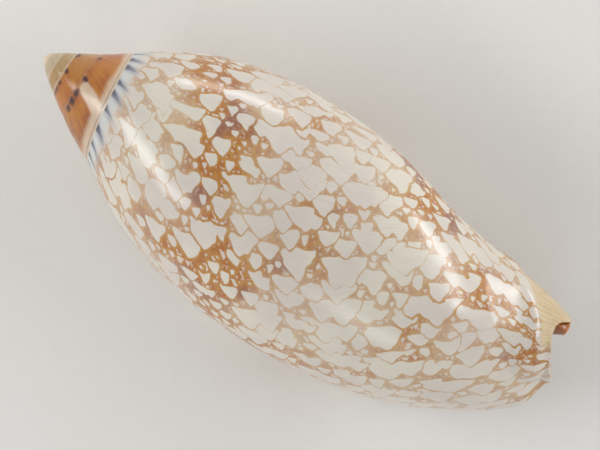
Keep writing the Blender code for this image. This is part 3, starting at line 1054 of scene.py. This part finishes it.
def paint_spire(paint, where):
    """Tan at the apex, amber and then red-brown below, with cream beside the last suture."""
    turn = paint.attribute("turn")
    across = paint.attribute("across")
    coarse = paint.noise(where, 260.0, 3.0)
    lines = paint.noise(paint.attribute("lines", "Vector"), 1.1, 3.0, 0.6)
    early = paint.mix(paint.step(*APEX_TO_TAN, turn), APEX_CREAM, TAN)
    older = paint.mix(paint.step(*TAN_TO_AMBER, turn), early, AMBER)
    brown = paint.mix(paint.step(*BROWN_DEEPENS, turn), ORANGE, RED_BROWN)
    streaky = paint.times(lines, 0.6)
    streaky = paint.math("ADD", streaky, paint.times(coarse, 0.5))
    brown = paint.mix(paint.step(0.45, 0.72, streaky, 0.0, 0.75), AMBER, brown)
    whole = paint.mix(paint.step(*AMBER_TO_BROWN, turn), older, brown)
    faint = paint.step(0.35, 0.7, coarse, 0.0, 0.3)
    whole = paint.mix(faint, whole, RED_BROWN, "SOFT_LIGHT")

    # Cream band, and a patch of cream and painted highlight that joins it to the suture before
    ragged = paint.times(paint.math("SUBTRACT", coarse, 0.5), 0.25)
    wavy = paint.math("ADD", across, ragged)
    band = paint.times(paint.step(0.7, 0.9, wavy), paint.step(*BAND_STARTS, turn))
    slanted = paint.math("SUBTRACT", turn, paint.times(wavy, CREAM_AND_HIGHLIGHT_SLANT))
    away = paint.math("ABSOLUTE", paint.math("SUBTRACT", slanted, CREAM_AND_HIGHLIGHT_ANGLE))
    cream_and_highlight = paint.times(paint.step(*CREAM_AND_HIGHLIGHT_HALF, away), paint.step(0.02, 0.14, across))
    pale = paint.times(paint.math("MAXIMUM", band, cream_and_highlight), 0.82)
    return paint.mix(pale, whole, SEAM_CREAM)


def shell_material():
    paint = Paint(bpy.data.materials.new("glossy_shell"))
    where = paint.add("TexCoord").outputs["Object"]
    lines = paint.attribute("lines", "Vector")
    zones = paint.attribute("zones", "Color")
    _, body_share, fasciole = paint.split(zones)
    inside = paint.attribute("zones", "Alpha")
    seam = paint.attribute("seam")
    spots = paint.attribute("spots")
    turn = paint.attribute("turn")

    body = paint_tents(paint, where)
    fasciole_tan = paint.mix(paint.step(0.35, 0.75, paint.noise(lines, 1.2, 3.0), 0.05, 0.6),
                             FASCIOLE_TAN, LINE_BROWN)
    body = paint.mix(paint.times(fasciole, 0.85), body, fasciole_tan)
    outside = paint.mix(body_share, paint_spire(paint, where), body)

    # Spots and streaks in front of the suture, fading from black to blue-grey on the last whorl
    streaky = paint.noise(lines, 1.3, 3.0, 0.6)
    ragged = paint.times(paint.math("SUBTRACT", streaky, 0.5), 0.9)
    pale = paint.times(body_share, paint.step(3.4, 1.6, seam, 0.0, 0.8))
    outside = paint.mix(pale, outside, BLUE_WHITE)
    streak = paint.mix(paint.step(0.3, 1.9, seam), BLUE_BLACK, BLUE_GREY)
    dark = paint.mix(body_share, MAROON, streak)
    ragged = paint.times(ragged, paint.step(0.0, 1.0, body_share, 1.7, 1.0))
    shown = paint.step(-0.22, 0.26, paint.math("ADD", spots, ragged))
    shown = paint.times(shown, paint.step(4.8, 0.9, seam, 0.1, 1.0))
    outside = paint.mix(shown, outside, dark)
    halo = paint.times(paint.step(-0.9, 0.1, spots, 0.0, 0.4), paint.step(5.0, 2.0, seam))
    outside = paint.mix(paint.times(halo, body_share), outside, BLUE_GREY)

    # A pale line along the suture, and a tint along the growth lines
    early = paint.step(-440.0, -560.0, turn, 0.15, 0.7)
    clear = paint.math("MAXIMUM", paint.step(-190.0, -150.0, turn), early)
    pale = paint.times(paint.step(0.42, 0.1, seam), clear)
    outside = paint.mix(pale, outside, SEAM_CREAM)
    tint = paint.mix(paint.noise(lines, 1.6, 4.0, 0.6), GROWTH_SHADE, WHITE)
    outside = paint.mix(0.14, outside, tint, "SOFT_LIGHT")

    # Lining, orange at the end of the canal
    deeper = paint.noise(where, 70.0, 2.0)
    lining = paint.mix(paint.step(0.3, 0.75, deeper), INSIDE_CREAM, INSIDE_ORANGE)
    canal = paint.step(*CANAL_DARKENS, paint.split(lines)[2])
    canal = paint.times(canal, paint.step(110.0, 80.0, turn))
    lining = paint.mix(canal, lining, CANAL_ORANGE)
    whole = paint.mix(paint.step(0.3, 0.7, inside), outside, lining)
    paint.shade("Base Color", whole)

    # Gloss, a little worn in streaks along the growth lines
    worn = paint.noise(lines, 2.4, 3.0, 0.6)
    paint.shade("Roughness", paint.step(0.3, 0.8, worn, *ROUGHNESS))
    for name, value in GLOSS.items():
        paint.shade(name, value)
    growth_height = paint.noise(lines, 3.0, 5.0, 0.65)
    rough_height = paint.noise(where, 1600.0, 2.0)
    normal = paint.bump(growth_height, *GROWTH_RELIEF)
    normal = paint.bump(rough_height, *FINE_RELIEF, normal)
    paint.shade("Normal", normal)
    return paint.owner


# The floor's width in metres, its colour and its faint grain
FLOOR_REACH = 1.4
FLOOR_COLOUR = colour(240, 238, 234)
FLOOR_GRAIN = colour(206, 204, 200)


def add_floor():
    bpy.ops.mesh.primitive_plane_add(size=FLOOR_REACH)
    floor = bpy.context.object
    floor.name = "floor"
    paint = Paint(bpy.data.materials.new("pale_floor"))
    grain = paint.noise(paint.add("TexCoord").outputs["Object"], 400.0)
    mottled = paint.mix(paint.times(grain, 0.12), FLOOR_COLOUR, FLOOR_GRAIN)
    paint.shade("Base Color", mottled)
    paint.shade("Roughness", 0.8)
    floor.data.materials.append(paint.owner)


# Soft lamps: where their two ends are in the shell's own coordinates, in millimetres, their width
# in metres, and watts
LAMPS = (((-455, -51, 163), (-208, -344, 299), 0.09, 1.0),
         ((-308, 374, 30), (-26, 495, 30), 0.05, 0.5),
         ((280, 459, 77), (469, 96, 336), 0.06, 1.0),
         ((155, -382, 345), (336, -388, 222), 0.1, 0.2))
# Strength of the sky at its top and at the horizon, and the heights that these start at
SKY = (0.3, 0.66)
SKY_HEIGHTS = (0.9, 0.2)


def add_lights(move):
    turn = rest_turn()
    for number, (start, end, width, watts) in enumerate(LAMPS):
        start = (turn @ Vector(start) + Vector(move)) * MM
        end = (turn @ Vector(end) + Vector(move)) * MM
        middle = (start + end) / 2
        towards = middle.normalized()
        across = (end - start).normalized()
        towards = (towards - across * towards.dot(across)).normalized()
        facing = Matrix((across, towards.cross(across), towards)).transposed()
        data = bpy.data.lights.new(f"lamp_{number + 1}", "AREA")
        data.shape = "RECTANGLE"
        data.size = (end - start).length
        data.size_y = width
        data.energy = watts
        lamp = add_object(data)
        lamp.location = middle
        lamp.rotation_euler = facing.to_euler()
    world = bpy.data.worlds.new("studio")
    bpy.context.scene.world = world
    paint = Paint(world, "Background")
    height = paint.split(paint.add("TexCoord").outputs["Generated"])[2]
    strength = paint.add("MapRange")
    for socket, value in zip(strength.inputs[:5], (height, *SKY_HEIGHTS, *SKY)):
        paint.put(socket, value)
    paint.shade("Color", WHITE)
    paint.shade("Strength", strength.outputs[0])


def add_camera(move):
    """Looks straight down on the shell as it grew, with its axis sloping down to the right."""
    data = bpy.data.cameras.new("camera")
    data.sensor_width = SENSOR
    data.lens = SENSOR * DISTANCE / SEEN_WIDTH
    data.clip_start = 0.01
    camera = add_object(data)
    turn = rest_turn()
    slope = math.radians(AXIS_SLOPE)
    cos = math.cos(slope)
    sin = math.sin(slope)
    sloping = Matrix(((cos, -sin, 0), (sin, cos, 0), (0, 0, 1)))
    camera.rotation_euler = (turn @ sloping).to_euler()
    camera.location = (turn @ (Vector(AIM) + Vector((0, 0, DISTANCE))) + Vector(move)) * MM
    bpy.context.scene.camera = camera


shell, move = make_shell()
shell.data.materials.append(shell_material())
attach(shell, "root")
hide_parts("shell")
add_floor()
add_lights(move)
add_camera(move)
bpy.context.scene.view_settings.view_transform = "Standard"
